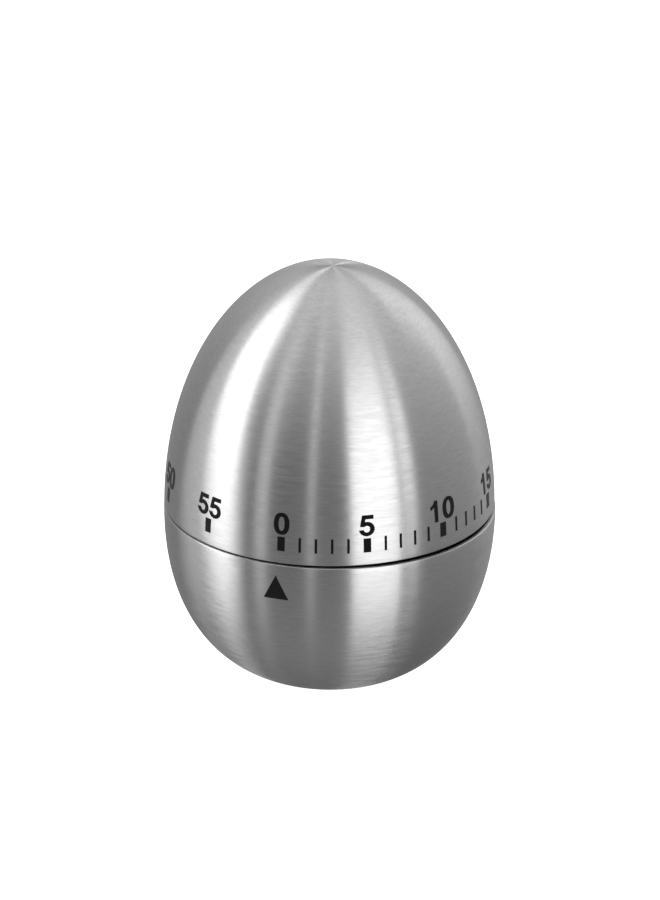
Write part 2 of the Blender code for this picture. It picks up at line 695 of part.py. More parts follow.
def cam_outline():
    """The alarm cam: a sharp drop that lets the hammer fall, a floor and a ramp back up."""
    drop = TRIP_ANGLE - CAM_LEAD
    floor = CAM_RADIUS - CAM_NOTCH
    points = [polar(CAM_RADIUS, drop), polar(floor, drop)]
    floor_steps = 4
    for i in range(1, floor_steps + 1):
        points.append(polar(floor, drop + CAM_FLOOR * i / floor_steps))
    ramp_end = CAM_FLOOR + CAM_RAMP
    rim_steps = 24
    for i in range(rim_steps):
        points.append(polar(CAM_RADIUS, drop + ramp_end + (math.tau - ramp_end) * i / rim_steps))
    return points


def spindle(name, at, pinion=None):
    """An arbor with pivots at both ends; the pinion is (leaves, module, level, phase)."""
    levels = [(PIVOT_RADIUS, BOTTOM_PLATE_HEIGHT - FIT), (PIVOT_RADIUS, PLATE_TOP + FIT)]
    levels.append((SPINDLE_RADIUS, PLATE_TOP + FIT))
    top = [(SPINDLE_RADIUS, TOP_PLATE_HEIGHT - FIT), (PIVOT_RADIUS, TOP_PLATE_HEIGHT - FIT)]
    top.append((PIVOT_RADIUS, FRAME_TOP + FIT))
    if pinion is None:
        profile = [(0, levels[0][1])] + levels + top + [(0, top[-1][1])]
        return place(lathe(name, profile, 10, STEEL), *at)
    leaves, module, level, phase = pinion
    outline = gear_outline(leaves, module, PINION_TOOTH, phase)
    angles = [math.atan2(y, x) for x, y in outline]
    low = PLATE_TOP + level - PINION_MARGIN
    high = PLATE_TOP + level + WHEEL_THICKNESS + PINION_MARGIN
    loops = [([polar(radius, a) for a in angles], z) for radius, z in levels]
    core = [polar(SPINDLE_RADIUS, a) for a in angles]
    loops += [(core, low), (outline, low), (outline, high), (core, high)]
    loops += [([polar(radius, a) for a in angles], z) for radius, z in top]
    return place(stack(name, loops, STEEL), *at)


def train_wheel(name, at, module, level, phase):
    """A spoked wheel of the train on its arbor."""
    root = WHEEL_TEETH * module / 2 - WHEEL_TOOTH[1] * module
    outline = gear_outline(WHEEL_TEETH, module, WHEEL_TOOTH, phase)
    openings = windows(SPINDLE_RADIUS * 3, root - WHEEL_RIM, 4, WHEEL_SPOKE)
    outlines = [outline, circle(SPINDLE_RADIUS + FIT, 10)] + openings
    return place(slab(name, outlines, PLATE_TOP + level, WHEEL_THICKNESS, BRASS), *at)


def make_great_wheel():
    """The wheel that the mainspring drives through the click spring riveted to it."""
    low = PLATE_TOP + GREAT_LEVEL
    root = GREAT_TEETH * GREAT_MODULE / 2 - WHEEL_TOOTH[1] * GREAT_MODULE
    outline = gear_outline(GREAT_TEETH, GREAT_MODULE, WHEEL_TOOTH, SECOND_ANGLE)
    rivets = [polar(RIVET_CIRCLE, a) for a in (0, math.pi)]
    holes = [circle(RIVET_RADIUS + FIT, 8, x, y) for x, y in rivets]
    openings = windows(RATCHET_RADIUS, root - WHEEL_RIM, 4, GREAT_SPOKE)
    bore = circle(ARBOR_RADIUS + FIT, 16)
    slab("great_wheel", [outline, bore] + openings + holes, low, WHEEL_THICKNESS, BRASS)

    click_low = low + WHEEL_THICKNESS + FIT
    tooth = math.tau / RATCHET_TEETH
    inside = []
    for side in (0, math.pi):
        start = side + tooth / 2
        inside.append(polar(CLICK_INNER, start))
        inside.append(polar(RATCHET_RADIUS + FIT, start + 1.1 * tooth))
        inside.append(polar(RATCHET_RADIUS + 2 * FIT, start + 1.2 * tooth))
        arc_start = start + 0.6 * tooth
        arc = side + math.pi + tooth / 2 - arc_start
        inside += [polar(CLICK_INNER, arc_start + arc * i / 8) for i in range(8)]
    outlines = [circle(CLICK_OUTER, 28), inside] + holes
    slab("click_spring", outlines, click_low, FIT, STEEL)
    rivet_top = click_low + FIT
    for i, (x, y) in enumerate(rivets, 1):
        below = low - FIT
        above = rivet_top + FIT
        profile = [(0, below - FIT), (RIVET_HEAD, below - FIT), (RIVET_HEAD, below), (RIVET_RADIUS, below)]
        profile += [(RIVET_RADIUS, above), (RIVET_HEAD, above), (RIVET_HEAD, above + FIT)]
        profile.append((0, above + FIT))
        place(lathe(f"click_rivet_{i}", profile, 8, STEEL), x, y, axis=(0, 0))


def make_train():
    """Second, third and escape arbors with their wheels."""
    back = SECOND_ANGLE + math.pi
    phase = back + math.pi / SECOND_PINION_LEAVES
    spindle("second_arbor", SECOND_AT, (SECOND_PINION_LEAVES, GREAT_MODULE, GREAT_LEVEL, phase))
    onward = bearing(SECOND_AT, THIRD_AT)
    train_wheel("second_wheel", SECOND_AT, SECOND_MODULE, SECOND_LEVEL, onward)
    inward = bearing(SECOND_AT, finger_tip())
    tooth = inward - math.tau / STRIKE_TEETH * SAW_GAP_MIDDLE
    outline = saw_outline(STRIKE_TEETH, STRIKE_RADIUS, STRIKE_DEPTH, tooth)
    outlines = [outline, circle(SPINDLE_RADIUS + FIT, 10)]
    place(slab("strike_wheel", outlines, PLATE_TOP + STRIKE_LEVEL, CAM_THICKNESS, STEEL), *SECOND_AT)

    phase = onward + math.pi + math.pi / PINION_LEAVES
    spindle("third_arbor", THIRD_AT, (PINION_LEAVES, SECOND_MODULE, SECOND_LEVEL, phase))
    onward = bearing(THIRD_AT, ESCAPE_AT)
    train_wheel("third_wheel", THIRD_AT, THIRD_MODULE, THIRD_LEVEL, onward)

    phase = onward + math.pi + math.pi / PINION_LEAVES
    spindle("escape_arbor", ESCAPE_AT, (PINION_LEAVES, THIRD_MODULE, THIRD_LEVEL, phase))
    pitch = math.tau / ESCAPE_TEETH
    tooth = bearing(ESCAPE_AT, BALANCE_AT) + PALLET_SPREAD - 0.75 * pitch
    outline = saw_outline(ESCAPE_TEETH, ESCAPE_RADIUS, ESCAPE_DEPTH, tooth)
    openings = windows(SPINDLE_RADIUS * 2.5, ESCAPE_RADIUS - ESCAPE_DEPTH - WHEEL_RIM, 4, WHEEL_SPOKE)
    outlines = [outline, circle(SPINDLE_RADIUS + FIT, 10)] + openings
    place(slab("escape_wheel", outlines, PLATE_TOP + SECOND_LEVEL, WHEEL_THICKNESS, BRASS), *ESCAPE_AT)


def make_balance():
    """The rocking pallet and the balance wheel on one arbor."""
    spindle("balance_arbor", BALANCE_AT)
    bore = circle(SPINDLE_RADIUS + FIT, 10)
    openings = windows(SPINDLE_RADIUS * 3, BALANCE_RADIUS - BALANCE_RIM, 4, WHEEL_SPOKE)
    outlines = [circle(BALANCE_RADIUS, 28), bore] + openings
    place(slab("balance_wheel", outlines, PLATE_TOP + STRIKE_LEVEL, BALANCE_THICKNESS, BRASS), *BALANCE_AT)

    reach = ESCAPE_RADIUS + PALLET_PIN_RADIUS + PALLET_CLEARANCE
    toward = bearing(ESCAPE_AT, BALANCE_AT)
    pins = []
    for side in (1, -1):
        x, y = polar(reach, toward + side * PALLET_SPREAD)
        pins.append((ESCAPE_AT[0] + x - BALANCE_AT[0], ESCAPE_AT[1] + y - BALANCE_AT[1]))
    low = PLATE_TOP + SECOND_LEVEL - PALLET_DROP
    end = PALLET_PIN_RADIUS + 2 * FIT
    outline = hull([(0, 0, SPINDLE_RADIUS * 2.2)] + [(x, y, end) for x, y in pins])
    holes = [circle(PALLET_PIN_RADIUS + FIT, 8, x, y) for x, y in pins]
    place(slab("pallet", [outline, bore] + holes, low, WHEEL_THICKNESS, STEEL), *BALANCE_AT)
    high = PLATE_TOP + SECOND_LEVEL + WHEEL_THICKNESS
    profile = [(0, low), (PALLET_PIN_RADIUS, low), (PALLET_PIN_RADIUS, high), (0, high)]
    for i, (x, y) in enumerate(pins, 1):
        pin = lathe(f"pallet_pin_{i}", profile, 8, STEEL)
        place(pin, BALANCE_AT[0] + x, BALANCE_AT[1] + y, axis=BALANCE_AT)


def lever_tip(centre, distance, skew):
    """Where a lever from the hammer's arbor ends beside a wheel, at a skew to the wheel's radius."""
    far = math.hypot(centre[0] - HAMMER_AT[0], centre[1] - HAMMER_AT[1])
    swing = math.asin(distance * math.sin(skew) / far)
    length = far * math.sin(math.pi - skew - swing) / math.sin(skew)
    x, y = polar(length, bearing(HAMMER_AT, centre) + swing)
    return HAMMER_AT[0] + x, HAMMER_AT[1] + y


def finger_tip():
    """The strike finger's end beside the strike wheel."""
    return lever_tip(SECOND_AT, STRIKE_RADIUS + FIT + FINGER_END, FINGER_SKEW)


def hammer_piece(name, end, end_radius, low, thickness, extra_holes=()):
    """A flat lever from the hammer's arbor to an end point."""
    x = end[0] - HAMMER_AT[0]
    y = end[1] - HAMMER_AT[1]
    outline = hull([(0, 0, HAMMER_ARBOR_RADIUS * 2.1), (x, y, end_radius)])
    holes = [circle(HAMMER_ARBOR_RADIUS + FIT, 10)] + [circle(r, 8, x, y) for r in extra_holes]
    return place(slab(name, [outline] + holes, low, thickness, STEEL), *HAMMER_AT)


def make_hammer():
    """The alarm's hammer: an arbor with the trip lever, the strike finger and the arm with its head."""
    arm_low = BOTTOM_PLATE_HEIGHT - FIT - HAMMER_ARM_RISE
    low = arm_low - FIT
    high = TOP_PLATE_HEIGHT - FIT
    profile = [(0, low), (HAMMER_ARBOR_RADIUS, low), (HAMMER_ARBOR_RADIUS, high), (PIVOT_RADIUS, high)]
    profile += [(PIVOT_RADIUS, FRAME_TOP + FIT), (0, FRAME_TOP + FIT)]
    place(lathe("hammer_arbor", profile, 10, STEEL), *HAMMER_AT)
    hammer_piece("trip_lever", TRIP_AT, LEVER_END, PLATE_TOP + CAM_LEVEL, CAM_THICKNESS)
    finger_low = PLATE_TOP + STRIKE_LEVEL
    hammer_piece("strike_finger", finger_tip(), FINGER_END, finger_low, CAM_THICKNESS)
    stem = HEAD_STEM + FIT
    hammer_piece("hammer_arm", HEAD_AT, stem + FIT, arm_low, HAMMER_ARM_THICKNESS, [stem])
    head_top = arm_low - FIT
    low = HAMMER_HEAD_LOW
    top = BOTTOM_PLATE_HEIGHT - FIT
    profile = [(0, low), (HAMMER_HEAD_RADIUS - COVER_CHAMFER, low)]
    profile += [(HAMMER_HEAD_RADIUS, low + COVER_CHAMFER), (HAMMER_HEAD_RADIUS, head_top)]
    profile += [(HEAD_STEM, head_top), (HEAD_STEM, top), (0, top)]
    place(lathe("hammer_head", profile, SCREW_SEGMENTS, BRASS), *HEAD_AT, axis=HAMMER_AT)


def make_hammer_spring():
    """A coil of wire round the hammer's arbor."""
    low = PLATE_TOP + STRIKE_LEVEL + CAM_THICKNESS + 2 * FIT
    rise = HAMMER_SPRING_WIRE * 2 + FIT
    steps = 14
    sides = 5
    bm = bmesh.new()
    rings = []
    for i in range(HAMMER_SPRING_TURNS * steps + 1):
        angle = math.tau * i / steps
        height = low + rise * i / steps
        ring = []
        for k in range(sides):
            out, up = polar(HAMMER_SPRING_WIRE, math.tau * k / sides)
            ring.append(bm.verts.new((*polar(HAMMER_SPRING_RADIUS + out, angle), height + up)))
        rings.append(ring)
    bm.faces.new(rings[0])
    bm.faces.new(rings[-1])
    for first, second in zip(rings, rings[1:]):
        for k in range(sides):
            n = (k + 1) % sides
            bm.faces.new((first[k], first[n], second[n], second[k]))
    place(finish_mesh("hammer_spring", bm, BLUED), *HAMMER_AT)


TRIP_AT = lever_tip((0, 0), CAM_RADIUS + FIT + LEVER_END, math.pi / 2)
TRIP_ANGLE = math.atan2(TRIP_AT[1], TRIP_AT[0])

clear_scene()
make_shells()
make_housing()
make_bell()
make_frame()
make_mainspring()
make_dial()
make_great_wheel()
make_train()
make_balance()
make_hammer()
make_hammer_spring()
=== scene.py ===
"""Looks of the egg-shaped kitchen timer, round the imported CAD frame. Metres, +Z up, the front is -Y.

Azimuths are degrees from the front, positive to the right as seen from the front.
"""

import json
import math

import bmesh
import bpy
from mathutils import Matrix, Vector
from mathutils.geometry import tessellate_polygon


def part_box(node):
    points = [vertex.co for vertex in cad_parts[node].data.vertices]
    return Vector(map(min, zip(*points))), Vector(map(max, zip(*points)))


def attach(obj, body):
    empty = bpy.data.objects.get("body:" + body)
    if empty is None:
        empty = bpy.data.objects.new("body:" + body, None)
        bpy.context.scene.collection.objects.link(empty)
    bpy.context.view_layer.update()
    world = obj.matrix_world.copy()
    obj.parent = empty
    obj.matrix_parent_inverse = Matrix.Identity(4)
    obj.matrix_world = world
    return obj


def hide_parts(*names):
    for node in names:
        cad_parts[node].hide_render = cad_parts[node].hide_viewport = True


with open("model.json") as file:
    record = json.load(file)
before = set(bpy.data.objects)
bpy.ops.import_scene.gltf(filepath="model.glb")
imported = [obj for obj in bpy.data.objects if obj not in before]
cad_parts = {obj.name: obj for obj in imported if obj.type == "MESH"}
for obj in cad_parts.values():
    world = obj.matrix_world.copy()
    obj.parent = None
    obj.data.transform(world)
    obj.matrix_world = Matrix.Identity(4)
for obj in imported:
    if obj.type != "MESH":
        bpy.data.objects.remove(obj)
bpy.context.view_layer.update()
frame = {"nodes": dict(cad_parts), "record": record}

MM = 0.001

# The egg, from the CAD model's boxes
CAP_LOW, CAP_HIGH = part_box("dial_cap")
SHELL_LOW, SHELL_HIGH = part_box("lower_shell")
RADIUS = CAP_HIGH[0]
SEAM = (CAP_LOW[2] + SHELL_HIGH[2]) / 2
UPPER_HEIGHT = CAP_HIGH[2] - SEAM
LOWER_DEPTH = 33.0 * MM
UPPER_POWERS = (2.05, 2.0)
LOWER_POWERS = (2.2, 2.73)
BASE_HEIGHT = SHELL_LOW[2]
SHEET = 0.6 * MM
EDGE_ROUND = 0.18 * MM
FLANGE_OPENING = 12.0 * MM

# The cover on the bottom, with the boss for the bell. The boss, bore, holes, recesses and slots are radii
COVER_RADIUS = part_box("base_cover")[1][0]
COVER_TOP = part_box("base_cover")[1][2]
COVER_THICKNESS = 1.8 * MM
COVER_CHAMFER = 0.3 * MM
COVER_BOSS = 2.8 * MM
COVER_BORE = 1.0 * MM
COVER_BORE_FLOOR = 4.6 * MM
SCREW_COUNT = 3
SCREW_HOLE = 1.0 * MM
SCREW_RECESS = 1.5 * MM
SCREW_RECESS_DEPTH = 1.3 * MM
RECESS_STEPS = 48
HOLE_STEPS = 24
SLOT_INNER = 4.0 * MM
SLOT_OUTER = 7.2 * MM
SLOT_COUNT = 8
SLOT_ARC = 22.0
CUT_MARGIN = 1.0 * MM

# The gap between the shells, and how the cap sits in it: a hair small, leaning and off centre
SEAM_GAP = 0.5 * MM
CAP_RADIUS = RADIUS - 0.1 * MM
CAP_LEAN_BACK = 0.5
CAP_LEAN_LEFT = 0.6
CAP_SHIFT = -0.08 * MM
CAP_TRIM = 0.25 * MM

# Fineness of the turned pieces. No edge of the cover's fan meets the middle of a slot
SEGMENTS = 256
COVER_SEGMENTS = 120
UPPER_RINGS = 72
LOWER_RINGS = 56
SMOOTH_ANGLE = 30

# The printed scale; heights are from the seam, and the pointer's is down from it
ZERO_AZIMUTH = -16.5
POINTER_AZIMUTH = -18.4
DEGREES_PER_MINUTE = 6.0
TICK_LOW = 2.95 * MM
MAJOR_HEIGHT = 2.65 * MM
MINOR_HEIGHT = 2.75 * MM
MAJOR_WIDTH = 1.38 * MM
MINOR_WIDTH = 0.45 * MM
MINOR_SPACING = 5.6
LAST_MINOR_MINUTE = 15
MINUTES_PER_NUMBER = 5
DIGIT_LOW = 6.05 * MM
DIGIT_HEIGHT_SHARE = 0.94
DIGIT_ADVANCE = 3.1 * MM
DIGIT_MIDDLE = 1.48 * MM
PRINT_LIFT = 0.02 * MM
PRINT_THICKNESS = 0.05 * MM
PRINT_GRID = 0.4 * MM
POINTER_TOP = 2.33 * MM
POINTER_HEIGHT = 4.65 * MM
POINTER_WIDTH = 4.65 * MM


# ---------------------------------------------------------------- shapes


def side_radius(z):
    """Outer radius of the egg at a height."""
    if z >= SEAM:
        part = min(1.0, (z - SEAM) / UPPER_HEIGHT)
        vertical, radial = UPPER_POWERS
        return CAP_RADIUS * (1 - part**vertical) ** (1 / radial)
    part = min(1.0, (SEAM - z) / LOWER_DEPTH)
    vertical, radial = LOWER_POWERS
    return RADIUS * (1 - part**vertical) ** (1 / radial)


def cap_seat():
    """How the cap sits on its arbor: a small lean and shift about the middle of the seam."""
    middle = Matrix.Translation((0, 0, SEAM))
    back = Matrix.Rotation(math.radians(CAP_LEAN_BACK), 4, "X")
    left = Matrix.Rotation(math.radians(-CAP_LEAN_LEFT), 4, "Y")
    return middle @ Matrix.Translation((CAP_SHIFT, 0, 0)) @ back @ left @ middle.inverted()


def side_normal(z):
    """Outward direction of the egg's side at a height, as (radial, vertical)."""
    step = 0.02 * MM
    rise = side_radius(z - step) - side_radius(z + step)
    length = math.hypot(rise, 2 * step)
    return 2 * step / length, rise / length


def on_side(azimuth, z, lift=0.0):
    """Point on the egg's side at an azimuth in degrees and a height."""
    out, up = side_normal(z)
    angle = math.radians(azimuth)
    reach = side_radius(z) + out * lift
    return Vector((reach * math.sin(angle), -reach * math.cos(angle), z + up * lift))


def add_mesh(name, vertices, faces, material):
    """A mesh object with smooth sides and sharp edges."""
    mesh = bpy.data.meshes.new(name)
    mesh.from_pydata(vertices, [], faces)
    bm = bmesh.new()
    bm.from_mesh(mesh)
    bmesh.ops.remove_doubles(bm, verts=bm.verts, dist=1e-7)
    bmesh.ops.delete(bm, geom=[edge for edge in bm.edges if not edge.link_faces], context="EDGES")
    bmesh.ops.recalc_face_normals(bm, faces=bm.faces)
    bm.to_mesh(mesh)
    bm.free()
    mesh.shade_smooth()
    mesh.set_sharp_from_angle(angle=math.radians(SMOOTH_ANGLE))
    mesh.materials.append(material)
    obj = bpy.data.objects.new(name, mesh)
    bpy.context.collection.objects.link(obj)
    return obj


def revolve(name, profile, material, segments=SEGMENTS):
    """Turn a closed profile of (radius, height) about Z."""
    vertices = []
    for i in range(segments):
        angle = math.tau * i / segments
        for radius, z in profile:
            vertices.append((radius * math.sin(angle), -radius * math.cos(angle), z))
    count = len(profile)
    faces = []
    for i in range(segments):
        here = i * count
        there = (i + 1) % segments * count
        for k in range(count):
            n = (k + 1) % count
            faces.append((here + k, there + k, there + n, here + n))
    return add_mesh(name, vertices, faces, material)


def egg_line(radius, height, powers, start, end, steps):
    """Points of a superellipse's side between two heights from its middle, as (radius, rise)."""
    vertical, radial = powers
    first = math.asin((start / height) ** (vertical / 2))
    last = math.asin((end / height) ** (vertical / 2))
    points = []
    for i in range(steps + 1):
        turn = first + (last - first) * i / steps
        across = radius * max(0.0, math.cos(turn)) ** (2 / radial)
        points.append((across, height * math.sin(turn) ** (2 / vertical)))
    return points


def rim_round(radius):
    """The rounded outer corner of a sheet's cut edge, as (radius, depth from the edge)."""
    points = []
    steps = 4
    for k in range(steps):
        turn = math.pi / 2 * k / steps
        points.append((radius - EDGE_ROUND * (1 - math.sin(turn)), EDGE_ROUND * (1 - math.cos(turn))))
    return points


def upper_profile():
    """Section of the cap's sheet: outside from the rim to the pole, and back inside."""
    edge = SEAM_GAP / 2 + CAP_TRIM
    outer = rim_round(CAP_RADIUS)
    points = [(radius, SEAM + edge + rise) for radius, rise in outer]
    start = edge + EDGE_ROUND
    side = egg_line(CAP_RADIUS, UPPER_HEIGHT, UPPER_POWERS, start, UPPER_HEIGHT, UPPER_RINGS)
    points += [(r, SEAM + z) for r, z in side]
    inner_height = UPPER_HEIGHT - SHEET
    inner = egg_line(CAP_RADIUS - SHEET, inner_height, UPPER_POWERS, edge, inner_height, UPPER_RINGS // 4)
    return points + [(r, SEAM + z) for r, z in reversed(inner)]


def lower_profile():
    """Section of the lower shell's sheet, from its rim down to the turned-in flange and back."""
    edge = SEAM_GAP / 2
    depth = SEAM - BASE_HEIGHT
    points = [(radius, SEAM - edge - drop) for radius, drop in rim_round(RADIUS)]
    side = egg_line(RADIUS, LOWER_DEPTH, LOWER_POWERS, edge + EDGE_ROUND, depth, LOWER_RINGS)
    points += [(r, SEAM - z) for r, z in side]
    points += [(FLANGE_OPENING, BASE_HEIGHT), (FLANGE_OPENING, BASE_HEIGHT + SHEET)]
    inner_depth = LOWER_DEPTH - SHEET
    inner = egg_line(RADIUS - SHEET, inner_depth, LOWER_POWERS, edge, depth - SHEET, LOWER_RINGS // 4)
    return points + [(r, SEAM - z) for r, z in reversed(inner)]


def make_shells():
    """The cap, which turns, and the lower shell, which stands."""
    cap = revolve("upper_shell", upper_profile(), BRUSHED)
    cap.data.transform(cap_seat())
    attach(cap, "dial")
    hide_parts("dial_cap")
    shell = revolve("lower_shell_skin", lower_profile(), BRUSHED)
    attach(shell, "base")
    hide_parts("lower_shell")


def cut_openings(obj, openings):
    """Cut upright openings, each an outline of (x, y) between two heights, out of a piece."""
    bm = bmesh.new()
    for outline, low, high in openings:
        face = bm.faces.new([bm.verts.new((x, y, low)) for x, y in outline])
        grown = bmesh.ops.extrude_face_region(bm, geom=[face])["geom"]
        for vertex in grown:
            if isinstance(vertex, bmesh.types.BMVert):
                vertex.co.z = high
    bmesh.ops.recalc_face_normals(bm, faces=bm.faces)
    mesh = bpy.data.meshes.new("opening")
    bm.to_mesh(mesh)
    bm.free()
    tool = bpy.data.objects.new("opening", mesh)
    bpy.context.collection.objects.link(tool)
    cut = obj.modifiers.new("openings", "BOOLEAN")
    cut.operation = "DIFFERENCE"
    cut.object = tool
    seen = obj.evaluated_get(bpy.context.evaluated_depsgraph_get())
    made = bpy.data.meshes.new_from_object(seen)
    obj.modifiers.remove(cut)
    obj.data = made
    bpy.data.objects.remove(tool)


def make_cover():
    """The plastic cover on the bottom: sound slots in a ring, and a recess and a hole for each screw."""
    profile = [(0, 0), (COVER_RADIUS - COVER_CHAMFER, 0), (COVER_RADIUS, COVER_CHAMFER)]
    profile += [(COVER_RADIUS, COVER_THICKNESS), (COVER_BOSS, COVER_THICKNESS), (COVER_BOSS, COVER_TOP)]
    profile += [(COVER_BORE, COVER_TOP), (COVER_BORE, COVER_BORE_FLOOR), (0, COVER_BORE_FLOOR)]
    cover = revolve("bottom_cover", profile, PLASTIC, COVER_SEGMENTS)
    openings = []
    for i in range(SLOT_COUNT):
        start = 360 * (i + 0.5) / SLOT_COUNT - SLOT_ARC / 2
        line = arc((0, 0), (SLOT_INNER, SLOT_INNER), start + SLOT_ARC, start)
        line += arc((0, 0), (SLOT_OUTER, SLOT_OUTER), start, start + SLOT_ARC)
        openings.append((line, -CUT_MARGIN, COVER_THICKNESS + CUT_MARGIN))
    holes = []
    for i in range(SCREW_COUNT):
        low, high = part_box(f"cover_screw_{i + 1}")
        middle = ((low[0] + high[0]) / 2, (low[1] + high[1]) / 2)
        recess = ring(middle, (SCREW_RECESS, SCREW_RECESS), 2, RECESS_STEPS)
        openings.append((recess, -CUT_MARGIN, SCREW_RECESS_DEPTH))
        hole = ring(middle, (SCREW_HOLE, SCREW_HOLE), 2, HOLE_STEPS)
        holes.append((hole, -CUT_MARGIN, COVER_THICKNESS + CUT_MARGIN))
    cut_openings(cover, openings)
    cut_openings(cover, holes)
    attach(cover, "base")
    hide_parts("base_cover")


# ---------------------------------------------------------------- numerals


def arc(centre, radii, start, end, steps=10):
    """Points of an elliptic arc, in degrees."""
    points = []
    for i in range(steps + 1):
        turn = math.radians(start + (end - start) * i / steps)
        points.append((centre[0] + radii[0] * math.cos(turn), centre[1] + radii[1] * math.sin(turn)))
    return points


def ring(centre, radii, power, steps=28):
    """Points of a superellipse; with power 2, an ellipse."""
    points = []
    for i in range(steps):
        turn = math.tau * i / steps
        x = math.copysign(abs(math.cos(turn)) ** (2 / power), math.cos(turn))
        y = math.copysign(abs(math.sin(turn)) ** (2 / power), math.sin(turn))
        points.append((centre[0] + radii[0] * x, centre[1] + radii[1] * y))
    return points


def digit_outlines(digit):
    """Bold sans-serif numeral, one of 0 to 5, 4.3 tall and about 2.9 wide: the outline, then its holes."""
    if digit == "0":
        return [ring((1.48, 2.15), (1.46, 2.17), 2.35), ring((1.48, 2.15), (0.56, 1.42), 2.2)]
    if digit == "1":
        stem = [(1.16, 0), (1.95, 0), (1.95, 4.3), (1.28, 4.3)]
        flag = arc((0.05, 4.55), (1.2, 1.25), -12, -78, 5)
        return [stem + flag + [(0.3, 2.58), (0.8, 2.85), (1.16, 3.1)]]
    if digit == "2":
        bowl = arc((1.47, 3.05), (1.36, 1.27), -38, 176)
        inner = arc((1.47, 3.05), (0.58, 0.60), 176, -36)
        base = [(0.08, 0), (2.86, 0), (2.86, 0.78), (1.30, 0.78), (1.75, 1.28)]
        return [base + bowl + inner + [(1.5, 2.2), (0.7, 1.4), (0.25, 0.75)]]
    if digit == "3":
        lower = arc((1.45, 1.28), (1.42, 1.30), -174, 46, 14)
        upper = arc((1.42, 3.22), (1.28, 1.08), -42, 170)
        upper_in = arc((1.42, 3.20), (0.52, 0.46), 170, -80, 8)
        lower_in = arc((1.42, 1.34), (0.64, 0.70), 84, -172)
        return [lower + upper + upper_in + [(1.08, 2.72), (1.0, 2.06)] + lower_in]
    if digit == "4":
        stem = [(1.72, 0), (2.48, 0), (2.48, 0.88), (2.98, 0.88), (2.98, 1.58), (2.48, 1.58)]
        return [stem + [(2.48, 4.3), (1.80, 4.3), (0.04, 1.60), (0.04, 0.88), (1.72, 0.88)],
                [(0.80, 1.58), (1.72, 1.58), (1.72, 3.02)]]
    bowl = arc((1.42, 1.40), (1.46, 1.44), -172, 112, 16)
    inner = arc((1.42, 1.38), (0.60, 0.68), 128, -166, 12)
    flag = [(1.02, 2.66), (1.18, 3.34), (2.68, 3.34), (2.68, 4.14)]
    flag += [(0.58, 4.14), (0.16, 1.92), (0.92, 1.82)]
    return [bowl + flag + inner]


def split_on_grid(bm):
    """Cut a flat mark along a square grid, so that it can follow the egg's curve."""
    for axis in (0, 1):
        low_end = min(vertex.co[axis] for vertex in bm.verts)
        high_end = max(vertex.co[axis] for vertex in bm.verts)
        normal = [0, 0, 0]
        normal[axis] = 1
        for i in range(1, math.ceil((high_end - low_end) / PRINT_GRID)):
            place = [0, 0, 0]
            place[axis] = low_end + i * PRINT_GRID
            geometry = bm.verts[:] + bm.edges[:] + bm.faces[:]
            bmesh.ops.bisect_plane(bm, geom=geometry, plane_co=place, plane_no=normal)


def printed(name, outlines, azimuth, low, body):
    """A thin printed mark laid on the egg's side. Outlines are in metres, x from the mark's middle."""
    lines = [[Vector((x, y, 0)) for x, y in line] for line in outlines]
    bm = bmesh.new()
    corners = [bm.verts.new(point) for line in lines for point in line]
    for a, b, c in tessellate_polygon(lines):
        bm.faces.new((corners[a], corners[b], corners[c]))
    split_on_grid(bm)
    for vertex in bm.verts:
        z = low + vertex.co.y
        turn = math.degrees(vertex.co.x / side_radius(z))
        vertex.co = on_side(azimuth + turn, z, PRINT_LIFT)
    bmesh.ops.recalc_face_normals(bm, faces=bm.faces)
    if body == "dial":
        bm.transform(cap_seat())
    mesh = bpy.data.meshes.new(name)
    bm.to_mesh(mesh)
    bm.free()
    mesh.materials.append(INK)
    obj = bpy.data.objects.new(name, mesh)
    bpy.context.collection.objects.link(obj)
    solid = obj.modifiers.new("thickness", "SOLIDIFY")
    solid.thickness = PRINT_THICKNESS
    solid.offset = 0
    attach(obj, body)


def bar(width, height):
    """Outline of an upright bar."""
    return [[(-width / 2, 0), (width / 2, 0), (width / 2, height), (-width / 2, height)]]


def print_number(minute, azimuth):
    """One number of the scale, its digits side by side."""
    digits = str(minute)
    for place, digit in enumerate(digits):
        shift = DIGIT_ADVANCE * (place + 0.5 - len(digits) / 2) - DIGIT_MIDDLE
        lines = []
        for line in digit_outlines(digit):
            lines.append([(x * MM + shift, y * MM * DIGIT_HEIGHT_SHARE) for x, y in line])
        printed(f"number_{minute}_{place}", lines, azimuth, SEAM + DIGIT_LOW, "dial")


def print_scale():
    """Numbers every five minutes, a bar under each, and fine ticks over the first quarter hour."""
    for minute in range(0, 60, MINUTES_PER_NUMBER):
        azimuth = ZERO_AZIMUTH + DEGREES_PER_MINUTE * minute
        printed(f"bar_{minute}", bar(MAJOR_WIDTH, MAJOR_HEIGHT), azimuth, SEAM + TICK_LOW, "dial")
        print_number(minute, azimuth)
        if minute >= LAST_MINOR_MINUTE:
            continue
        halfway = azimuth + DEGREES_PER_MINUTE * MINUTES_PER_NUMBER / 2
        for k in range(1, MINUTES_PER_NUMBER):
            tick = halfway + MINOR_SPACING * (k - MINUTES_PER_NUMBER / 2)
            outline = bar(MINOR_WIDTH, MINOR_HEIGHT)
            printed(f"tick_{minute + k}", outline, tick, SEAM + TICK_LOW, "dial")


def print_pointer():
    """The triangle on the lower shell that points at the time."""
    half = POINTER_WIDTH / 2
    triangle = [[(-half, 0), (half, 0), (0, POINTER_HEIGHT)]]
    printed("pointer", triangle, POINTER_AZIMUTH, SEAM - POINTER_TOP - POINTER_HEIGHT, "base")


# ---------------------------------------------------------------- materials

